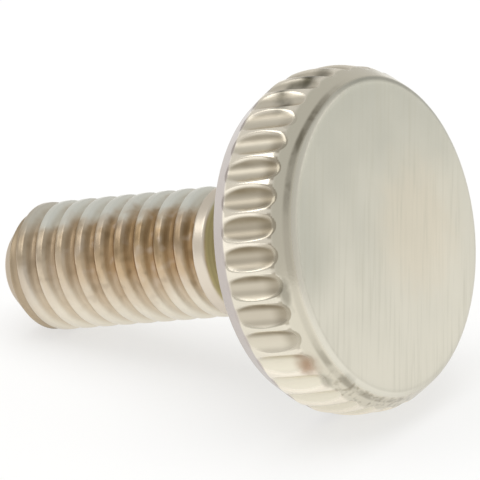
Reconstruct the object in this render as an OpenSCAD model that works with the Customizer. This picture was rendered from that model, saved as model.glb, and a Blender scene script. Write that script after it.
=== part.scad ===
// Lyre screw: a thumb screw turned from one bar, with a fluted, bevelled head,
// a plain neck and a threaded shank. It lies on its side, on the shank's tip
// and on the back edge of one ridge of the grip, with the head towards +X.

/* [Head] */
// Diameter over the grip ridges, at the middle of the rim
head_d = 10.9; // [8:0.1:16]
// Thickness from the back face to the front face
head_t = 3.1; // [2.4:0.1:5]
// How far the crowned grip falls from its middle to its ends
rim_crown = 0.1; // [0.09:0.01:0.2]
// Width along the axis of the plain bevel at each edge
bevel_w = 0.7; // [0.6:0.05:0.9]
// How far that bevel falls towards the axis
bevel_drop = 0.43; // [0.2:0.01:0.6]

/* [Flutes] */
// Number of flutes round the rim
flute_count = 37; // [24:1:44]
// Depth of a flute at the middle of the rim
flute_depth = 0.2; // [0.12:0.01:0.34]
// Width of the ridge left between two flutes
ridge_w = 0.1; // [0.06:0.02:0.3]

/* [Shank] */
// Major diameter of the thread
thread_d = 4.17; // [3.6:0.01:6]
// Length of the thread, lead taper included
thread_l = 8.55; // [5:0.05:20]
// Diameter of the flat tip
tip_d = 2.7; // [1.6:0.1:3.8]
// Length of the lead taper at the tip
lead_l = 0.85; // [0.2:0.05:1.5]
// Diameter of the neck between the head and the thread
neck_d = 3.3; // [2:0.1:3.9]
// Length of the neck, thread run-out included
neck_l = 2.55; // [1.4:0.05:6]
// Fillet where the neck meets the back of the head
neck_fillet = 0.4; // [0.1:0.05:0.8]

/* [Hidden] */
nickel = [0.78, 0.76, 0.70];
round_fn = 180;
flute_fn = 48;
overrun = 1;
touch_steps = 400;

// The grip's crown is one arc through its middle and both ends.
head_r = head_d / 2;
grip_end_r = head_r - rim_crown;
half_grip = head_t / 2 - bevel_w;
crown_r = (pow(half_grip, 2) + pow(rim_crown, 2)) / (2 * rim_crown);
crown_axis_r = head_r - crown_r;
face_r = grip_end_r - bevel_drop;

// A flute's cutter leaves ridge_w at the ridges and flute_depth at its root.
flute_root_r = head_r - flute_depth;
flute_half_angle = 180 / flute_count - asin(ridge_w / head_d);
cutter_r = (pow(head_r, 2) + pow(flute_root_r, 2)
            - 2 * head_r * flute_root_r * cos(flute_half_angle))
           / (2 * (head_r * cos(flute_half_angle) - flute_root_r));
cutter_at = flute_root_r + cutter_r;

thread_r = thread_d / 2;
tip_r = tip_d / 2;
neck_r = neck_d / 2;
run_out_l = thread_r - neck_r;
shank_l = neck_l + thread_l;

// How far the head and the tip reach below the back face's centre when the
// screw's axis climbs towards the head by the given angle. The head stands on
// a ridge, at the edge between its grip and its back bevel or beside it.
function ridge_r(along) =
    along < bevel_w ? face_r + bevel_drop * along / bevel_w
    : crown_axis_r + sqrt(pow(crown_r, 2) - pow(along - head_t / 2, 2));
function drops(angle, from, to) =
    [for (i = [0 : touch_steps])
        let (along = from + (to - from) * i / touch_steps)
        ridge_r(along) * cos(angle) - along * sin(angle)];
function head_drop(angle) =
    max(concat(drops(angle, 0, bevel_w), drops(angle, bevel_w, head_t / 2)));
function tip_drop(angle) =
    max(thread_r * cos(angle) + (shank_l - lead_l) * sin(angle), tip_r * cos(angle) + shank_l * sin(angle));

// The angle at which both touch the surface, found by halving.
function lie_angle(low = 0, high = 60, tries = 40) =
    let (middle = (low + high) / 2)
    tries == 0 ? middle
    : head_drop(middle) > tip_drop(middle) ? lie_angle(middle, high, tries - 1)
    : lie_angle(low, middle, tries - 1);

lie = lie_angle();
head_end_x = head_t * cos(lie) + face_r * sin(lie);
tip_end_x = -shank_l * cos(lie) - tip_r * sin(lie);

// Half sections: radius along X, the screw's axis along Y, back face at zero.
module head_section() {
    polygon([
        [0, 0],
        [face_r, 0],
        [grip_end_r, bevel_w],
        [grip_end_r, head_t - bevel_w],
        [face_r, head_t],
        [0, head_t]
    ]);
    intersection() {
        translate([crown_axis_r, head_t / 2]) circle(crown_r, $fn = round_fn);
        translate([grip_end_r / 2, bevel_w]) square([head_r, 2 * half_grip]);
    }
}

module neck_section() {
    translate([0, -neck_l]) square([neck_r, neck_l + head_t / 2]);
    difference() {
        translate([0, -neck_fillet]) square([neck_r + neck_fillet, neck_fillet + head_t / 2]);
        translate([neck_r + neck_fillet, -neck_fillet]) circle(neck_fillet, $fn = round_fn);
    }
}

module thread_section() {
    polygon([
        [0, -shank_l],
        [tip_r, -shank_l],
        [thread_r, lead_l - shank_l],
        [thread_r, -neck_l],
        [neck_r, run_out_l - neck_l],
        [0, run_out_l - neck_l]
    ]);
}

module flute_cutters() {
    for (i = [0 : flute_count - 1])
        rotate((i + 0.5) * 360 / flute_count)
            translate([cutter_at, 0, -overrun])
                cylinder(r = cutter_r, h = head_t + 2 * overrun, $fn = flute_fn);
}

module upright_screw() {
    difference() {
        rotate_extrude($fn = round_fn) {
            head_section();
            neck_section();
            thread_section();
        }
        flute_cutters();
    }
}

module lyre_screw() {
    color(nickel)
        translate([-(head_end_x + tip_end_x) / 2, 0, tip_drop(lie)])
            rotate([0, 90 - lie, 0])
                upright_screw();
}

lyre_screw();
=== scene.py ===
import math

import bpy
from mathutils import Matrix, Vector


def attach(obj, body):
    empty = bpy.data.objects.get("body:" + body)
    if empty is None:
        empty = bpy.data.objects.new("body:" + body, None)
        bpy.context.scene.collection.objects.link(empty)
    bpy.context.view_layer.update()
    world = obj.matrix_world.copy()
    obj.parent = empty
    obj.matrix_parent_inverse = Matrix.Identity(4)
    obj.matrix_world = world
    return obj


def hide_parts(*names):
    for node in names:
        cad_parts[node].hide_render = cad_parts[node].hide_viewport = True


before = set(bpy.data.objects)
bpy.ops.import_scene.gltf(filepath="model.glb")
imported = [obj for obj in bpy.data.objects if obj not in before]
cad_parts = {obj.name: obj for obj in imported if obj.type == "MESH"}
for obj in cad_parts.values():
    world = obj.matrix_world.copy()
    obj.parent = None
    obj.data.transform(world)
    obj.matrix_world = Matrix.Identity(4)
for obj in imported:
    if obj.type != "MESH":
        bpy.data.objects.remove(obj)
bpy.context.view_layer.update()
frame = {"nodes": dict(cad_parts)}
print("frame loaded:", ", ".join(frame["nodes"]))

mm = 0.001
turn = 2 * math.pi


class Wire:
    # one socket of a node tree; arithmetic on it adds Math nodes
    def __init__(self, bench, socket):
        self.bench = bench
        self.socket = socket

    def __add__(self, other):
        return self.bench.sum("ADD", self, other)

    def __sub__(self, other):
        return self.bench.sum("SUBTRACT", self, other)

    def __mul__(self, other):
        return self.bench.sum("MULTIPLY", self, other)

    def __truediv__(self, other):
        return self.bench.sum("DIVIDE", self, other)

    def __radd__(self, other):
        return self.bench.sum("ADD", other, self)

    def __rsub__(self, other):
        return self.bench.sum("SUBTRACT", other, self)

    def __rmul__(self, other):
        return self.bench.sum("MULTIPLY", other, self)

    def __rtruediv__(self, other):
        return self.bench.sum("DIVIDE", other, self)

    def __abs__(self):
        return self.bench.sum("ABSOLUTE", self)

    def __getitem__(self, name):
        return Wire(self.bench, self.socket.node.outputs[name])  # another output of the same node


class Bench:
    # puts nodes into one tree and joins them up
    def __init__(self, tree):
        self.tree = tree

    def add(self, kind, settings=(), sockets=(), out=0):
        node = self.tree.nodes.new(kind)
        for name, value in dict(settings).items():
            setattr(node, name, value)
        for key, value in dict(sockets).items():
            self.feed(node.inputs[key], value)
        return Wire(self, node.outputs[out]) if node.outputs else node

    def feed(self, socket, value):
        if isinstance(value, Wire):
            self.tree.links.new(value.socket, socket)
        elif isinstance(value, list):
            for one in value:
                self.tree.links.new(one.socket, socket)
        else:
            socket.default_value = value

    def sum(self, operation, *values):
        return self.add("ShaderNodeMath", {"operation": operation}, dict(enumerate(values)))

    def softMin(self, a, b, reach):
        return self.sum("SMOOTH_MIN", a, b, reach)

    def softMax(self, a, b, reach):
        return self.sum("SMOOTH_MAX", a, b, reach)

    def ease(self, wire, low, high):
        # 0 at low, 1 at high, soft in between
        return self.add("ShaderNodeMapRange", {"interpolation_type": "SMOOTHSTEP"},
                        {0: wire, 1: low, 2: high})

    def within(self, wire, low, high, soft):
        return self.ease(wire, low - soft, low + soft) * self.ease(wire, high + soft, high - soft)

    def uneven(self, wire, least, more):
        # least where the wire is 0, least + more where it is 1
        return least + wire * more

    def sway(self, grain, reach):
        # a grain swung round 0
        return (grain - 0.5) * reach

    def blend(self, share, first, second):
        return self.add("ShaderNodeMix", {"data_type": "RGBA"}, {0: share, 6: first, 7: second}, out=2)

    def grain(self, place, scale, detail):
        return self.add("ShaderNodeTexNoise", sockets={"Vector": place, "Scale": scale, "Detail": detail})

    def vector(self, x=0.0, y=0.0, z=0.0):
        return self.add("ShaderNodeCombineXYZ", sockets={0: x, 1: y, 2: z})

    def split(self, wire):
        node = self.add("ShaderNodeSeparateXYZ", sockets={0: wire})
        return node["X"], node["Y"], node["Z"]


# the screw's sizes in mm, each an input of its tree; along its axis the head's back is at 0
screwSizes = {
    "headRadius": 5.45, "headThick": 3.1, "crownDrop": 0.1, "bevelWidth": 0.7, "bevelDrop": 0.43,
    "frontRound": 0.34, "backRound": 0.06, "gripSoft": 0.05,
    "fluteDepth": 0.2, "ridgeWidth": 0.1, "ridgeRound": 0.05,
    "threadRadius": 2.085, "threadLength": 8.55, "threadPitch": 0.794, "threadDepth": 0.22,
    "crestWidth": 0.3, "firstCrest": 1.45, "crestSoft": 0.12, "rootSoft": 0.16,
    "collarWidth": 0.4, "collarGroove": 0.24, "collarSoft": 0.04, "grooveSoft": 0.05,
    "tipRadius": 1.35, "leadLength": 0.85, "endSoft": 0.03,
    "neckRadius": 1.65, "neckLength": 2.55, "neckFillet": 0.4,
}
# how many flutes it has and how finely it is meshed
screwCounts = {
    "fluteCount": 37, "columnsPerFlute": 20, "columnsPerTurn": 120, "rowsPerPitch": 18,
    "faceRows": 7, "frontRows": 9, "rimRows": 52, "edgeRows": 5, "backRows": 7,
    "filletRows": 9, "neckRows": 8, "tipRows": 5,
}
# how closely its lie is worked out: steepest angle in degrees, halvings, places tried along the rim
lieSearch = {"steepest": 60.0, "halvings": 40, "places": 400}

flankSlope = math.sqrt(3)  # a 60 degree thread
columnCrowding = 0.5  # draws the head's columns to the ridges, where the flutes' walls are steep
rowCrowding = 0.1  # draws the rim's rows to the ends of the flutes
lastRowFrom = 0.999  # share of the way down a band
mergeReach = 0.002  # mm


def faceEdge(sizes):
    # the radius of the face and of the back
    return sizes["headRadius"] - sizes["crownDrop"] - sizes["bevelDrop"]


def spaced(name):
    # threadPitch becomes Thread Pitch
    return "".join(" " + letter if letter.isupper() else letter for letter in name).title()


def formInputs(tree, sizes, counts):
    # one named input for each size and count, and what each identifier is set to
    values = {}
    for name, value in sizes.items():
        socket = tree.interface.new_socket(spaced(name), in_out="INPUT", socket_type="NodeSocketFloat")
        values[socket.identifier] = value * mm
    for name, value in counts.items():
        socket = tree.interface.new_socket(spaced(name), in_out="INPUT", socket_type="NodeSocketInt")
        values[socket.identifier] = value
    return values


def band(bench, rows, columns, radius, along, angle):
    # a unit grid bent once round the axis
    grid = bench.add("GeometryNodeMeshGrid", sockets={
        "Size X": 1.0, "Size Y": 1.0, "Vertices X": rows, "Vertices Y": columns + 1})
    place = bench.vector(radius * bench.sum("COSINE", angle), radius * bench.sum("SINE", angle), along)
    return bench.add("GeometryNodeSetPosition", sockets={"Geometry": grid, "Position": place})


def gripRadius(bench, size, along):
    # the crowned grip between its two bevels, without the flutes
    headRadius, crownDrop, bevelWidth = size["headRadius"], size["crownDrop"], size["bevelWidth"]
    halfThick = size["headThick"] / 2
    halfGrip = halfThick - bevelWidth
    offMiddle = along - halfThick
    crownRadius = (halfGrip * halfGrip + crownDrop * crownDrop) / (crownDrop * 2)
    crownArc = bench.sum("MAXIMUM", crownRadius * crownRadius - offMiddle * offMiddle, 0.0)
    crown = headRadius - crownRadius + bench.sum("SQRT", crownArc)
    bevel = faceEdge(size) + (halfThick - abs(offMiddle)) * size["bevelDrop"] / bevelWidth
    return bench.softMin(crown, bevel, size["gripSoft"])


def fluteRadius(bench, size, angle):
    # a flute is the near wall of a round cutter parallel to the axis
    headRadius, fluteCount = size["headRadius"], size["fluteCount"]
    root = headRadius - size["fluteDepth"]
    halfFlute = math.pi / fluteCount - bench.sum("ARCSINE", size["ridgeWidth"] / headRadius / 2)
    chord = headRadius * bench.sum("COSINE", halfFlute)
    cutter = (headRadius * headRadius + root * root - 2 * root * chord) / (2 * (chord - root))
    cutterAt = root + cutter
    share = bench.sum("FRACT", angle * fluteCount / turn + 1) - 0.5  # a ridge lies lowest
    offFlute = share * turn / fluteCount
    sideways = cutterAt * bench.sum("SINE", offFlute)
    inside = bench.sum("MAXIMUM", cutter * cutter - sideways * sideways, 0.0)
    return cutterAt * bench.sum("COSINE", offFlute) - bench.sum("SQRT", inside)


def headBands(bench, size, down, around):
    # face, its round, fluted rim, the back's round and the back
    headThick, frontRound, backRound = size["headThick"], size["frontRound"], size["backRound"]
    fluteCount, shankColumns = size["fluteCount"], size["columnsPerTurn"]
    columns = fluteCount * size["columnsPerFlute"]
    angle = around * turn - bench.sum("SINE", fluteCount * around * turn) * columnCrowding / fluteCount

    faceRadius = faceEdge(size)
    bevelAngle = bench.sum("ARCTANGENT", size["bevelDrop"] / size["bevelWidth"])
    roundReach = bench.sum("TANGENT", math.pi / 4 - bevelAngle / 2)
    roundDepth = 1 - bench.sum("SINE", bevelAngle)
    frontTouch, backTouch = faceRadius - frontRound * roundReach, faceRadius - backRound * roundReach
    rimFront, rimBack = headThick - frontRound * roundDepth, backRound * roundDepth

    face = band(bench, size["faceRows"], columns, frontTouch * down * (2 - down), headThick, angle)
    frontBend = math.pi / 2 + (bevelAngle - math.pi / 2) * down
    frontEdge = band(bench, size["frontRows"], columns,
                     frontTouch + frontRound * bench.sum("COSINE", frontBend),
                     headThick - frontRound + frontRound * bench.sum("SINE", frontBend), angle)

    across = 1 - down * 2
    across = across + bench.sum("SINE", across * math.pi) * rowCrowding
    rimAlong = (rimFront + rimBack) / 2 + across * (rimFront - rimBack) / 2
    rimRadius = bench.softMin(gripRadius(bench, size, rimAlong), fluteRadius(bench, size, angle),
                              size["ridgeRound"])
    rim = band(bench, size["rimRows"], columns, rimRadius, rimAlong, angle)

    backBend = bevelAngle + (math.pi / 2 - bevelAngle) * down
    backEdge = band(bench, size["edgeRows"], columns,
                    backTouch + backRound * bench.sum("COSINE", backBend),
                    backRound - backRound * bench.sum("SINE", backBend), angle)
    # the back's last row closes up on the shank's wider columns
    snapped = bench.sum("ROUND", around * shankColumns) / shankColumns * turn
    backAngle = angle + (snapped - angle) * bench.sum("GREATER_THAN", down, lastRowFrom)
    filletTop = size["neckRadius"] + size["neckFillet"]
    back = band(bench, size["backRows"], columns, backTouch + (filletTop - backTouch) * down, 0.0, backAngle)
    return [face, frontEdge, rim, backEdge, back]


def threadRadiusAt(bench, size, along, around, tipAt):
    threadRadius, tipRadius, pitch = size["threadRadius"], size["tipRadius"], size["threadPitch"]
    crestAt = tipAt + size["firstCrest"]
    phase = bench.sum("FRACT", (along - crestAt) / pitch - around + 0.5)
    offCrest = abs(phase - 0.5) * pitch
    flank = threadRadius - (offCrest - size["crestWidth"] / 2) * flankSlope
    crest = bench.softMin(threadRadius, flank, size["crestSoft"])
    groove = bench.softMax(crest, threadRadius - size["threadDepth"], size["rootSoft"])

    # a turned groove ends the thread and leaves a plain collar before the neck
    collarAt = 0.0 - size["neckLength"] - size["collarWidth"]
    closing = threadRadius + (along - collarAt) * flankSlope
    body = bench.sum("MINIMUM", bench.softMax(groove, closing, size["collarSoft"]), threadRadius)
    grooveHalf = size["collarGroove"] / 2
    turned = threadRadius + (abs(along - collarAt + grooveHalf) - grooveHalf) * flankSlope
    body = bench.softMin(body, turned, size["grooveSoft"])

    # lead taper at the tip, run-out at the neck
    lead = tipRadius + (along - tipAt) * (threadRadius - tipRadius) / size["leadLength"]
    runOut = threadRadius - size["neckLength"] - along
    return bench.softMin(body, bench.sum("MINIMUM", lead, runOut), size["endSoft"])


def shankBands(bench, size, down, around):
    # fillet under the head, neck, thread and tip
    neckRadius, neckFillet, pitch = size["neckRadius"], size["neckFillet"], size["threadPitch"]
    columns = size["columnsPerTurn"]
    angle = around * turn
    tipAt = 0.0 - size["neckLength"] - size["threadLength"]
    threadTopAt = size["threadRadius"] - neckRadius - size["neckLength"]

    filletBend = math.pi / 2 + down * math.pi / 2
    fillet = band(bench, size["filletRows"], columns,
                  neckRadius + neckFillet + neckFillet * bench.sum("COSINE", filletBend),
                  neckFillet * bench.sum("SINE", filletBend) - neckFillet, angle)
    neckDown = down * down * (3 - 2 * down)
    neck = band(bench, size["neckRows"], columns, neckRadius,
                (threadTopAt + neckFillet) * neckDown - neckFillet, angle)

    # the thread's rows follow the helix and stop at the neck and at the tip
    helix = threadTopAt - pitch * (down * size["threadRows"] / size["rowsPerPitch"]) + pitch * around
    along = bench.sum("MINIMUM", bench.sum("MAXIMUM", helix, tipAt), threadTopAt)
    radius = threadRadiusAt(bench, size, along, around, tipAt)
    thread = band(bench, size["threadRows"] + 1, columns, radius, along, angle)
    tip = band(bench, size["tipRows"], columns, size["tipRadius"] * (1 - down * down), tipAt, angle)
    return [fillet, neck, thread, tip]


def screwFormTree(sizes, counts):
    tree = bpy.data.node_groups.new("screwForm", "GeometryNodeTree")
    tree.interface.new_socket("Mesh", in_out="OUTPUT", socket_type="NodeSocketGeometry")
    values = formInputs(tree, sizes, counts)
    plating = tree.interface.new_socket("Plating", in_out="INPUT", socket_type="NodeSocketMaterial")
    bench = Bench(tree)
    given = bench.add("NodeGroupInput")
    size = {name: given[spaced(name)] for name in (*sizes, *counts)}

    # on the unit grid of every band X runs down the section and Y once round the axis
    gridX, gridY, _ = bench.split(bench.add("GeometryNodeInputPosition"))
    down, around = gridX + 0.5, gridY + 0.5
    bands = headBands(bench, size, down, around) + shankBands(bench, size, down, around)
    joined = bench.add("GeometryNodeJoinGeometry", sockets={"Geometry": bands})
    closed = bench.add("GeometryNodeMergeByDistance", sockets={
        "Geometry": joined, "Distance": mergeReach * mm})
    smooth = bench.add("GeometryNodeSetShadeSmooth", sockets={"Geometry": closed})
    real = bench.add("GeometryNodeRealizeInstances", sockets={"Geometry": smooth})
    plated = bench.add("GeometryNodeSetMaterial", sockets={"Geometry": real, "Material": given["Plating"]})
    bench.add("NodeGroupOutput", sockets={"Mesh": plated})
    return tree, values, plating.identifier


def threadRows(sizes, counts):
    # enough rows for the helix to pass both ends of the thread
    length = sizes["threadLength"] + sizes["threadRadius"] - sizes["neckRadius"]
    return math.ceil(length / sizes["threadPitch"] + 1) * counts["rowsPerPitch"]


def ridgeRadius(sizes, along):
    halfThick, bevelWidth, crownDrop = sizes["headThick"] / 2, sizes["bevelWidth"], sizes["crownDrop"]
    if along < bevelWidth:
        return faceEdge(sizes) + sizes["bevelDrop"] * along / bevelWidth
    crownRadius = ((halfThick - bevelWidth) ** 2 + crownDrop ** 2) / (2 * crownDrop)
    return sizes["headRadius"] - crownRadius + math.sqrt(crownRadius ** 2 - (along - halfThick) ** 2)


def headDrop(sizes, angle):
    # how far the head reaches below the middle of its back
    halfThick, bevelWidth, places = sizes["headThick"] / 2, sizes["bevelWidth"], lieSearch["places"]
    onBevel = [bevelWidth * place / places for place in range(places + 1)]
    onGrip = [bevelWidth + (halfThick - bevelWidth) * place / places for place in range(places + 1)]
    return max(ridgeRadius(sizes, along) * math.cos(angle) - along * math.sin(angle)
               for along in onBevel + onGrip)


def tipDrop(sizes, angle):
    shank = sizes["neckLength"] + sizes["threadLength"]
    return max(sizes["threadRadius"] * math.cos(angle) + (shank - sizes["leadLength"]) * math.sin(angle),
               sizes["tipRadius"] * math.cos(angle) + shank * math.sin(angle))


def screwLie(sizes):
    # the angle at which head and tip both touch the table, found by halving
    low, high = 0.0, math.radians(lieSearch["steepest"])
    for _ in range(lieSearch["halvings"]):
        angle = (low + high) / 2
        if headDrop(sizes, angle) > tipDrop(sizes, angle):
            low = angle
        else:
            high = angle
    return angle


def screwPlace(sizes):
    # lays the screw down, its length centred; +X of its own section points down
    angle = screwLie(sizes)
    shank = sizes["neckLength"] + sizes["threadLength"]
    headEnd = sizes["headThick"] * math.cos(angle) + faceEdge(sizes) * math.sin(angle)
    tipEnd = -shank * math.cos(angle) - sizes["tipRadius"] * math.sin(angle)
    headBack = Vector((-(headEnd + tipEnd) / 2, 0, tipDrop(sizes, angle))) * mm
    return Matrix.Translation(headBack) @ Matrix.Rotation(math.pi / 2 - angle, 4, "Y")


def makeScrew(plating):
    counts = dict(screwCounts, threadRows=threadRows(screwSizes, screwCounts))
    tree, values, platingInput = screwFormTree(screwSizes, counts)
    maker = bpy.data.objects.new("screwMaker", bpy.data.meshes.new("screwMaker"))
    bpy.context.scene.collection.objects.link(maker)
    form = maker.modifiers.new("screwForm", "NODES")
    form.node_group = tree
    for identifier, value in values.items():
        form[identifier] = value
    form[platingInput] = plating
    made = bpy.data.meshes.new_from_object(maker.evaluated_get(bpy.context.evaluated_depsgraph_get()))
    maker.modifiers.remove(form)
    bpy.data.objects.remove(maker)
    made.name = "lyreScrew"
    made.transform(screwPlace(screwSizes))
    screw = bpy.data.objects.new("lyreScrew", made)
    bpy.context.scene.collection.objects.link(screw)
    print("screw:", len(made.vertices), "points,", len(made.polygons), "faces")
    return screw


def paint(red, green, blue):
    # screen values 0 to 255 as a linear colour
    def linear(value):
        value = value / 255
        return value / 12.92 if value <= 0.04045 else ((value + 0.055) / 1.055) ** 2.4
    return (linear(red), linear(green), linear(blue), 1)


# where each part of the screw begins and is full, in mm, and the grains' scale and detail
plateParts = {
    "face": (-0.16, -0.06), "back": (0.03, 0.005), "headBehind": (-0.04, 0.0), "headAbout": (2.2, 2.4),
    "bevel": (0.0, 0.12), "flute": (0.015, 0.1), "flank": (-0.04, -0.3), "groove": (0.03, 0.2),
    "tip": (0.04, 0.01), "collar": (-0.02, 0.04, 0.04), "neck": (0.02, 0.1),
    "mottle": (1.3, 3.0), "blotch": (0.45, 2.0), "fine": (14.0, 3.0), "lathe": (7.0, 3.0), "rag": (2.2, 3.0),
}


class PlatedPoint:
    # a point of the screw: where it lies in the screw's own mm, and how much it belongs to each part
    def __init__(self, bench, sizes, parts):
        back = screwPlace(sizes).inverted()
        self.local = bench.add("ShaderNodeMapping", {"vector_type": "POINT"}, {
            "Vector": bench.add("ShaderNodeTexCoord", out="Object"),
            "Location": back.to_translation() / mm, "Rotation": back.to_euler(),
            "Scale": (1 / mm, 1 / mm, 1 / mm)})
        self.x, self.y, self.along = bench.split(self.local)  # down, to the photo's right, along the axis
        self.radius = bench.sum("SQRT", self.x * self.x + self.y * self.y)
        self.angle = bench.sum("ARCTAN2", self.y, self.x)
        self.fromFace = self.along - sizes["headThick"]
        self.fromNeck = self.along + sizes["neckLength"]
        self.fromTip = self.fromNeck + sizes["threadLength"]

        self.mottle = bench.grain(self.local, *parts["mottle"])
        self.blotch = bench.grain(self.local, *parts["blotch"])
        self.fine = bench.grain(self.local, *parts["fine"])
        self.rag = bench.grain(self.local, *parts["rag"])
        self.lathe = bench.grain(bench.vector(self.radius, self.along), *parts["lathe"])  # the tool's rings

        # how far the point lies under the grip's own surface tells the flutes from the ridges
        halfThick, bevelWidth = sizes["headThick"] / 2, sizes["bevelWidth"]
        fromEdge = halfThick - abs(self.along - halfThick)
        offMiddle = (self.along - halfThick) / (halfThick - bevelWidth)
        crown = sizes["headRadius"] - sizes["crownDrop"] * offMiddle * offMiddle
        bevel = faceEdge(sizes) + fromEdge * sizes["bevelDrop"] / bevelWidth
        self.sunk = bench.sum("MINIMUM", crown, bevel) - self.radius
        fluteCount = screwCounts["fluteCount"]
        self.flutePhase = bench.sum("FRACT", self.angle * fluteCount / turn + fluteCount) - 0.5

        self.onFace = bench.ease(self.fromFace, *parts["face"])
        self.onBack = bench.ease(self.along, *parts["back"])
        self.onHead = bench.sum("MAXIMUM", bench.ease(self.along, *parts["headBehind"]),
                                bench.ease(self.radius, *parts["headAbout"]))
        self.onBevel = bench.ease(bevelWidth - fromEdge, *parts["bevel"])
        self.inFlute = bench.ease(self.sunk, *parts["flute"])
        self.onFlank = bench.ease(self.flutePhase, *parts["flank"])
        self.inGroove = bench.ease(sizes["threadRadius"] - self.radius, *parts["groove"])
        self.onTip = bench.ease(self.fromTip, *parts["tip"])
        low, high, soft = parts["collar"]
        self.onCollar = bench.within(self.fromNeck, low - sizes["collarWidth"], high, soft)
        self.onNeck = bench.ease(self.fromNeck, *parts["neck"])


# the satin face: painted shade above and at its upper left edge, painted light below, a painted highlight on
# its round at the left, faintly tan at the right, streaked by its last polish
faceLook = {
    "dull": paint(177, 176, 164), "bright": paint(213, 209, 195), "streak": paint(178, 175, 159),
    "warm": paint(212, 200, 178), "lip": paint(230, 226, 212),
    "slope": 0.7, "blotches": 3.0, "polish": (-4.5, 3.2),
    "dullLeft": (-2.4, -4.2), "dullAbove": (1.2, -0.6), "dullShare": 0.7,
    "warmAt": (0.2, 1.6), "warmRagged": 1.5, "warmReach": (3.0, 0.8), "warmShare": 0.4,
    "streakTurn": 25.0, "streakStretch": (0.35, 7.0), "streakGrain": (1.0, 4.0),
    "streaks": (0.46, 0.75), "streakShare": (0.15, 0.3),
    "lipAt": (-0.15, -0.015, 0.012), "lipLeft": (1.0, -2.0), "lipShare": 0.9,
}


def polishStreaks(bench, point, look):
    streakTurn = math.radians(look["streakTurn"])
    lengthwise = point.x * math.cos(streakTurn) - point.y * math.sin(streakTurn)
    crosswise = point.x * math.sin(streakTurn) + point.y * math.cos(streakTurn)
    long, thin = look["streakStretch"]
    return bench.grain(bench.vector(lengthwise * long, crosswise * thin, point.along), *look["streakGrain"])


def faceColour(bench, point, streak, look):
    # painted shade above and at the upper left edge of the face, painted light below, made blotchy
    polish = bench.ease(point.x * look["slope"] + bench.sway(point.blotch, look["blotches"]), *look["polish"])
    shadedLeftEdge = bench.ease(point.y, *look["dullLeft"]) * bench.ease(point.x, *look["dullAbove"])
    colour = bench.blend(polish * (1 - shadedLeftEdge * look["dullShare"]), look["dull"], look["bright"])
    warmX, warmY = point.x - look["warmAt"][0], point.y - look["warmAt"][1]
    warmAway = bench.sum("SQRT", warmX * warmX + warmY * warmY)
    warm = bench.ease(warmAway + bench.sway(point.mottle, look["warmRagged"]), *look["warmReach"])
    colour = bench.blend(warm * look["warmShare"], colour, look["warm"])
    streaks = bench.ease(streak, *look["streaks"]) * bench.uneven(point.mottle, *look["streakShare"])
    colour = bench.blend(streaks, colour, look["streak"])
    # a painted highlight on the round at the face's edge, on its left side
    litLip = bench.within(point.fromFace, *look["lipAt"]) * bench.ease(point.y, *look["lipLeft"])
    return bench.blend(litLip * look["lipShare"], colour, look["lip"])


# the rim: pale ridges, flutes in painted light above and below and painted shade between, painted shade on
# one flank and at their front ends, plain bevels, the back
rimLook = {
    "ridge": paint(250, 242, 226), "fluteTop": paint(222, 214, 197), "flute": paint(190, 180, 161),
    "fluteLow": paint(240, 234, 216), "grime": paint(132, 119, 95),
    "backBevel": paint(194, 185, 180), "frontBevel": paint(220, 214, 197), "back": paint(213, 209, 195),
    "above": (-2.0, -4.2), "below": (0.6, 2.8),
    "calm": (-0.8, 2.2, 0.8), "calmFlute": 0.5, "calmRidge": 0.7,  # a stretch with less contrast
    "flankShare": (0.5, 0.7), "flankLow": (3.2, 0.4), "flankTop": (-6.5, -2.5), "bevelSide": (1.0, 2.0),
    "endFrom": (1.8, 2.3), "endTo": (2.78, 2.64), "endWidth": (0.48, 0.38), "endSunk": (0.0004, 0.004),
    "endLow": (3.4, 1.0), "endTop": (-5.2, -3.6), "endShare": (0.26, 0.5), "endAbove": (-0.5, -2.5),
    "endMore": 0.12,
    "backBlotch": (0.35, 0.7), "backRings": (0.45, 0.75), "backRingShare": 0.5,
}


def rimColour(bench, point, look):
    x, along = point.x, point.along
    # painted light and shade by height round the rim: flutes lighter above and below, darker between, and
    # less contrast between flutes and ridges in the calm stretch
    calm = bench.within(x, *look["calm"])
    flute = bench.blend(bench.ease(x, *look["above"]), look["flute"], look["fluteTop"])
    flute = bench.blend(calm * look["calmFlute"], flute, look["fluteTop"])
    flute = bench.blend(bench.ease(x, *look["below"]), flute, look["fluteLow"])
    # painted shade on one flank of each flute, only over part of the rim's height
    flankShade = point.onFlank * bench.uneven(point.mottle, *look["flankShare"])
    flankShade = flankShade * bench.ease(x, *look["flankLow"]) * bench.ease(x, *look["flankTop"])
    flute = bench.blend(flankShade, flute, look["grime"])
    ridge = bench.blend(calm * look["calmRidge"], look["ridge"], look["frontBevel"])
    colour = bench.blend(point.inFlute, ridge, flute)
    bevel = bench.blend(bench.ease(along, *look["bevelSide"]), look["backBevel"], look["frontBevel"])
    colour = bench.blend(point.onBevel * (1 - point.inFlute), colour, bevel)

    # painted shade at the flutes' front ends, more of it above, over the highlights of their rounded ends
    fluteEndShade = bench.ease(along, *look["endFrom"]) * bench.ease(along, *look["endTo"])
    fluteEndShade = fluteEndShade * bench.ease(abs(point.flutePhase), *look["endWidth"])
    fluteEndShade = fluteEndShade * bench.ease(point.sunk, *look["endSunk"])
    fluteEndShade = fluteEndShade * bench.ease(x, *look["endLow"]) * bench.ease(x, *look["endTop"])
    endShare = bench.uneven(point.mottle, *look["endShare"])
    endShare = endShare + bench.ease(x, *look["endAbove"]) * look["endMore"]
    return bench.blend(fluteEndShade * endShare, colour, look["grime"])


def backColour(bench, point, look):
    colour = bench.blend(bench.ease(point.blotch, *look["backBlotch"]), look["back"], look["backBevel"])
    rings = bench.ease(point.lathe, *look["backRings"]) * look["backRingShare"]
    return bench.blend(rings, colour, look["flute"])
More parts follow.
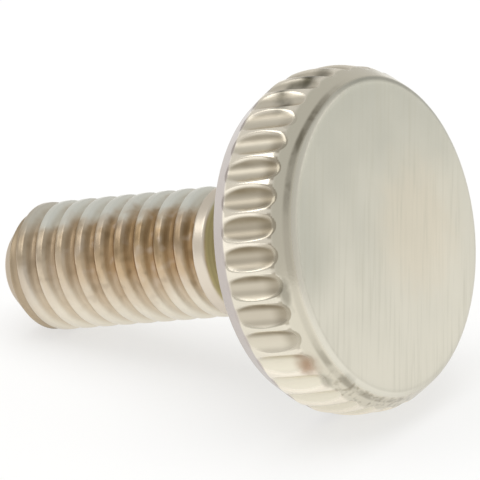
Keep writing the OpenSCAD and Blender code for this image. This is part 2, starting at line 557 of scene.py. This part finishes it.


# dirt and painted shade on the head: a dark line beside the face, painted shade of its edge step that is
# strongest above and breaks into dirt spots below, specks and one brown spot
dirtAndShadeLook = {
    "line": paint(116, 109, 92), "spot": paint(160, 122, 90), "speck": paint(96, 91, 74),
    "speckle": paint(132, 119, 95),
    "lineAlong": 2.85, "lineWidth": 0.17, "lineSoft": 0.05, "lineRise": (-3.6, -4.8), "lineRiseBy": 0.08,
    "lineLeft": (0.5, -2.5), "lineShare": 0.16,
    "above": (-1.6, -3.2), "aboveShare": 0.7, "aboveLeast": 0.35, "aboveRag": (0.4, 0.6), "ragShare": 0.3,
    "gathered": (-166, -138, 7), "gatheredShare": 0.35,  # degrees round the rim from the bottom
    "below": (1.4, 2.6), "belowBreaks": (0.38, 0.56), "belowShare": 0.35,
    # degrees round the rim, place along the axis, size, how many times as long, strength
    "brownSpot": (-61.5, 2.3, 0.42, 1.2, 0.75),
    "specks": [
        (-176.5, 1.95, 0.4, 2.4, 0.95), (-168.0, 1.5, 0.36, 2.2, 0.85), (-158.0, 1.85, 0.32, 1.2, 0.75),
        (-88.5, 2.58, 0.2, 2.6, 0.5), (-52.0, 2.5, 0.2, 2.0, 0.4), (-47.5, 2.95, 0.2, 2.4, 0.3)],
    "speckRagged": 0.35, "speckEdge": (1.3, 0.1),
    "speckleGrain": (5.0, 2.0), "speckles": (0.5, 0.66), "speckleShare": 0.4,
    "speckleAlong": (2.35, 2.5), "speckleBelow": (2.4, 3.8),
}


def edgeLineShare(bench, point, look):
    lineHalf, soft = look["lineWidth"] / 2, look["lineSoft"]
    lineAt = look["lineAlong"] + bench.ease(point.x, *look["lineRise"]) * look["lineRiseBy"]
    line = bench.ease(abs(point.along - lineAt), lineHalf + soft, lineHalf - soft)
    # stronger painted shade over a stretch round the top of the rim
    gathered = bench.within(point.angle, *[math.radians(degrees) for degrees in look["gathered"]])
    upper = look["aboveLeast"] + gathered * look["gatheredShare"]
    upper = upper + bench.ease(point.rag, *look["aboveRag"]) * look["ragShare"]
    upper = bench.ease(point.x, *look["above"]) * upper
    lower = bench.ease(point.x, *look["below"]) * bench.ease(point.mottle, *look["belowBreaks"])
    strength = look["lineShare"] + upper * look["aboveShare"] + lower * look["belowShare"]
    return line * bench.ease(point.y, *look["lineLeft"]) * strength


def speckShare(bench, point, look, degrees, place, size, stretch, strength):
    around, halfThick = math.radians(degrees), screwSizes["headThick"] / 2
    bevelAt = (halfThick - abs(place - halfThick)) * screwSizes["bevelDrop"] / screwSizes["bevelWidth"]
    out = min(screwSizes["headRadius"] - screwSizes["crownDrop"], faceEdge(screwSizes) + bevelAt)
    onward = (point.y * math.cos(around) - point.x * math.sin(around)) / stretch
    outward = point.x * math.cos(around) + point.y * math.sin(around) - out
    aside = point.along - place
    away = bench.sum("SQRT", onward * onward + outward * outward + aside * aside)
    outer, inner = look["speckEdge"]
    ragged = away + bench.sway(point.rag, look["speckRagged"])
    return bench.ease(ragged, size * outer, size * inner) * strength


def soiledAndShaded(bench, point, colour, look):
    # the dark line beside the face is painted shade above and dirt spots below; the brown spot and specks are
    # dirt
    colour = bench.blend(edgeLineShare(bench, point, look), colour, look["line"])
    colour = bench.blend(speckShare(bench, point, look, *look["brownSpot"]), colour, look["spot"])
    for speck in look["specks"]:
        colour = bench.blend(speckShare(bench, point, look, *speck), colour, look["speck"])
    speckle = bench.ease(bench.grain(point.local, *look["speckleGrain"]), *look["speckles"])
    speckle = speckle * bench.ease(point.along, *look["speckleAlong"])
    speckle = speckle * bench.ease(point.x, *look["speckleBelow"])
    return bench.blend(speckle * (1 - point.onFace) * look["speckleShare"], colour, look["speckle"])


# the shank: a tan band of worn plating across its upper side that also stands for painted shade, a painted
# shaded band, painted light on its lower side, darker in the roots, plain collar, olive neck, turned tip
shankLook = {
    "crest": paint(204, 178, 143), "crestPale": paint(224, 210, 195), "root": paint(184, 153, 114),
    "plated": paint(237, 237, 228), "platedRoot": paint(222, 219, 206),
    "platedLow": paint(245, 238, 222), "platedLowRoot": paint(228, 216, 195),
    "shade": paint(126, 104, 74), "collar": paint(228, 217, 201), "neck": paint(198, 187, 142),
    "tip": paint(184, 166, 140),
    # mm below the axis
    "ragged": 0.8, "wornTop": (-2.0, -1.4), "wornLow": (1.7, -0.4), "lowSide": (0.0, 1.0),
    "shaded": (-1.5, -0.85, 0.3),
    # mm from the tip
    "wornFrom": (1.5, 5.5), "wornShare": (0.68, 0.32), "shadedFrom": (1.0, 7.5), "shadedShare": (0.25, 0.38),
    "paleTo": (2.6, 0.6), "paleMore": 0.12, "tipTo": (1.8, 0.4), "tipEdgeTo": (0.16, 0.06),
    # grains and shares
    "paleBlotch": (0.5, 0.66), "paleShare": 0.6,
    "patchGrain": (2.4, 1.0), "darkPatch": (0.5, 0.75), "palePatch": (0.46, 0.2), "patchShare": 0.45,
    "tipRings": (0.42, 0.72), "tipRingShare": 0.5, "tipEdge": (-0.05, 0.08, 0.05), "tipEdgeShare": (0.3, 0.6),
    "neckRings": (0.45, 0.75), "neckRingShare": 0.45,
}


def threadColour(bench, point, look):
    fromTip = point.fromTip
    ragged = point.x + bench.sway(point.mottle, look["ragged"])
    # a tan band where brass shows through worn plating, placed across the upper side as painted shade too
    wornAndShaded = bench.ease(ragged, *look["wornTop"]) * bench.ease(ragged, *look["wornLow"])
    wornAndShaded = wornAndShaded * bench.uneven(bench.ease(fromTip, *look["wornFrom"]), *look["wornShare"])
    pale = point.blotch + bench.ease(fromTip, *look["paleTo"]) * look["paleMore"]
    pale = bench.ease(pale, *look["paleBlotch"])
    tan = bench.blend(pale * look["paleShare"], look["crest"], look["crestPale"])
    # painted light on the lower side, where the metal mirrors the white table
    lowSide = bench.ease(point.x, *look["lowSide"])
    crest = bench.blend(wornAndShaded, bench.blend(lowSide, look["plated"], look["platedLow"]), tan)
    root = bench.blend(wornAndShaded, bench.blend(lowSide, look["platedRoot"], look["platedLowRoot"]), look["root"])
    colour = bench.blend(point.inGroove, crest, root)

    shaded = bench.within(ragged, *look["shaded"])
    shaded = shaded * bench.uneven(bench.ease(fromTip, *look["shadedFrom"]), *look["shadedShare"])
    colour = bench.blend(shaded, colour, look["shade"])
    patch = bench.grain(point.local, *look["patchGrain"])
    patchShare = wornAndShaded * look["patchShare"]
    colour = bench.blend(bench.ease(patch, *look["darkPatch"]) * patchShare, colour, look["shade"])
    return bench.blend(bench.ease(patch, *look["palePatch"]) * patchShare, colour, look["crestPale"])


def shankColour(bench, point, sizes, look):
    tipTone = bench.ease(point.fromTip, *look["tipTo"])
    colour = bench.blend(tipTone, threadColour(bench, point, look), look["tip"])
    tipRings = point.onTip * bench.ease(point.lathe, *look["tipRings"])
    colour = bench.blend(tipRings * look["tipRingShare"], colour, look["root"])
    tipEdge = bench.within(point.radius - sizes["tipRadius"], *look["tipEdge"])
    tipEdge = tipEdge * bench.ease(point.fromTip, *look["tipEdgeTo"])
    tipEdge = tipEdge * bench.uneven(point.mottle, *look["tipEdgeShare"])
    colour = bench.blend(tipEdge, colour, look["crestPale"])
    colour = bench.blend(point.onCollar, colour, look["collar"])
    neckRings = bench.ease(point.lathe, *look["neckRings"]) * look["neckRingShare"]
    return bench.blend(point.onNeck, colour, bench.blend(neckRings, look["neck"], look["shade"]))


# the plating's gloss and fine relief, depths in mm
finishLook = {
    "faceRough": 0.3, "ridgeRough": 0.22, "fluteRough": 0.36, "threadRough": 0.32, "neckRough": 0.42,
    "streakRough": 0.08, "rootRough": 0.12, "grainRough": 0.06,
    "toolStrength": 0.1, "toolDepth": 0.02, "grainStrength": 0.16, "grainDepth": 0.01,
}


def plateRough(bench, point, streak, look):
    head = look["ridgeRough"] + (look["fluteRough"] - look["ridgeRough"]) * point.inFlute
    head = head + (look["faceRough"] + streak * look["streakRough"] - head) * point.onFace
    shank = look["threadRough"] + point.inGroove * look["rootRough"]
    shank = shank + point.onNeck * (look["neckRough"] - look["threadRough"])
    return shank + (head - shank) * point.onHead + bench.sway(point.fine, look["grainRough"])


def plateRelief(bench, point, streak, look):
    # streaks of the last polish on the face, the tool's rings on back, neck and tip, satin grain all over
    turned = point.onBack + point.onTip + point.onNeck * (1 - point.onHead)
    tool = bench.add("ShaderNodeBump", sockets={
        "Strength": look["toolStrength"], "Distance": look["toolDepth"] * mm,
        "Height": streak * point.onFace + point.lathe * turned})
    return bench.add("ShaderNodeBump", sockets={
        "Strength": look["grainStrength"], "Distance": look["grainDepth"] * mm,
        "Height": point.fine, "Normal": tool})


def nickelPlate():
    material = bpy.data.materials.new("nickelPlate")
    material.use_nodes = True
    tree = material.node_tree
    tree.nodes.clear()
    bench = Bench(tree)
    point = PlatedPoint(bench, screwSizes, plateParts)
    streak = polishStreaks(bench, point, faceLook)

    head = bench.blend(point.onBack, rimColour(bench, point, rimLook), backColour(bench, point, rimLook))
    head = bench.blend(point.onFace, head, faceColour(bench, point, streak, faceLook))
    head = soiledAndShaded(bench, point, head, dirtAndShadeLook)
    shank = shankColour(bench, point, screwSizes, shankLook)
    shader = bench.add("ShaderNodeBsdfPrincipled", sockets={
        "Base Color": bench.blend(point.onHead, shank, head), "Metallic": 1.0,
        "Roughness": plateRough(bench, point, streak, finishLook),
        "Normal": plateRelief(bench, point, streak, finishLook)})
    bench.add("ShaderNodeOutputMaterial", sockets={"Surface": shader})
    print("plating:", len(tree.nodes), "nodes")
    return material


# floor and sky
stageSet = {
    "floorSize": 3.0, "floorColour": (0.9, 0.9, 0.89, 1), "floorGlow": 0.6,
    "skyTop": (0.6, 0.6, 0.59, 1), "skySide": (0.66, 0.65, 0.63, 1),
    "skyFade": (0.05, 0.9), "skyStrength": 1.0,
}
# place, target and size in m, power in W, whether the metal mirrors the lamp itself
lamps = {
    "tableBox": ((-0.05, 0.02, 0.5), (0, 0, 0), (0.6, 0.6), 1.7, False),
    "leftBox": ((-0.4, -0.3, 0.45), (0, 0, 0.005), (0.35, 0.35), 0.5, True),
    "sideBox": ((0.42, 0.45, 0.12), (0, 0, 0.005), (0.5, 0.35), 0.4, True),
}
# the camera as fitted to the photo, in degrees and mm
cameraFit = {
    "azimuth": 33.01137, "elevation": 21.637, "distance": 150.0,
    "lens": 359.6, "sensor": 36.0, "clipStart": 5.0,
    "pointAt": (2.11, 0.11),  # how far right of and below the middle the head's back lies
}


def makeFloor():
    size = stageSet["floorSize"]
    mesh = bpy.data.meshes.new("floor")
    corners = [(-size, -size, 0), (size, -size, 0), (size, size, 0), (-size, size, 0)]
    mesh.from_pydata(corners, [], [(0, 1, 2, 3)])
    floor = bpy.data.objects.new("floor", mesh)
    bpy.context.scene.collection.objects.link(floor)
    material = bpy.data.materials.new("whiteTable")
    material.use_nodes = True
    tree = material.node_tree
    tree.nodes.clear()
    bench = Bench(tree)
    matt = bench.add("ShaderNodeBsdfDiffuse", sockets={"Color": stageSet["floorColour"]})
    glow = bench.add("ShaderNodeEmission", sockets={"Color": (1, 1, 1, 1), "Strength": 1.0})
    path = bench.add("ShaderNodeLightPath")
    seen = bench.sum("MAXIMUM", bench.sum("MAXIMUM", path["Is Camera Ray"], path["Is Glossy Ray"]),
                     path["Is Transmission Ray"])
    mixed = bench.add("ShaderNodeMixShader", sockets={0: seen * stageSet["floorGlow"], 1: matt, 2: glow})
    bench.add("ShaderNodeOutputMaterial", sockets={"Surface": mixed})
    mesh.materials.append(material)


def makeSky():
    world = bpy.data.worlds.new("studio")
    bpy.context.scene.world = world
    world.use_nodes = True
    tree = world.node_tree
    tree.nodes.clear()
    bench = Bench(tree)
    height = bench.split(bench.add("ShaderNodeTexCoord")["Generated"])[2]
    colour = bench.blend(bench.ease(height, *stageSet["skyFade"]), stageSet["skySide"], stageSet["skyTop"])
    sky = bench.add("ShaderNodeBackground", sockets={"Color": colour, "Strength": stageSet["skyStrength"]})
    bench.add("ShaderNodeOutputWorld", sockets={"Surface": sky})


def softBox(name, place, target, size, power, mirrored):
    lamp = bpy.data.lights.new(name, "AREA")
    lamp.shape = "RECTANGLE"
    lamp.size, lamp.size_y = size
    lamp.energy = power
    holder = bpy.data.objects.new(name, lamp)
    holder.location = place
    holder.rotation_euler = (Vector(target) - Vector(place)).to_track_quat("-Z", "Y").to_euler()
    holder.visible_glossy = mirrored
    bpy.context.scene.collection.objects.link(holder)


def makeCamera():
    azimuth, elevation = math.radians(cameraFit["azimuth"]), math.radians(cameraFit["elevation"])
    right = Vector((math.cos(azimuth), math.sin(azimuth), 0))
    level = Vector((math.sin(azimuth), -math.cos(azimuth), 0))
    back = level * math.cos(elevation) + Vector((0, 0, math.sin(elevation)))
    up = back.cross(right)
    headBack = screwPlace(screwSizes).to_translation()
    aside, below = cameraFit["pointAt"]
    camera = bpy.data.cameras.new("camera")
    camera.lens = cameraFit["lens"]
    camera.sensor_width = cameraFit["sensor"]
    camera.clip_start = cameraFit["clipStart"] * mm
    holder = bpy.data.objects.new("camera", camera)
    place = headBack + (back * cameraFit["distance"] - right * aside + up * below) * mm
    holder.matrix_world = Matrix.Translation(place) @ Matrix((right, up, back)).transposed().to_4x4()
    bpy.context.scene.collection.objects.link(holder)
    bpy.context.scene.camera = holder


makeCamera()
makeFloor()
makeSky()
for lampName, lampSet in lamps.items():
    softBox(lampName, *lampSet)
bpy.context.scene.view_settings.view_transform = "Standard"
print("stage ready")

screw = makeScrew(nickelPlate())
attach(screw, "root")
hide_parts("lyre_screw")
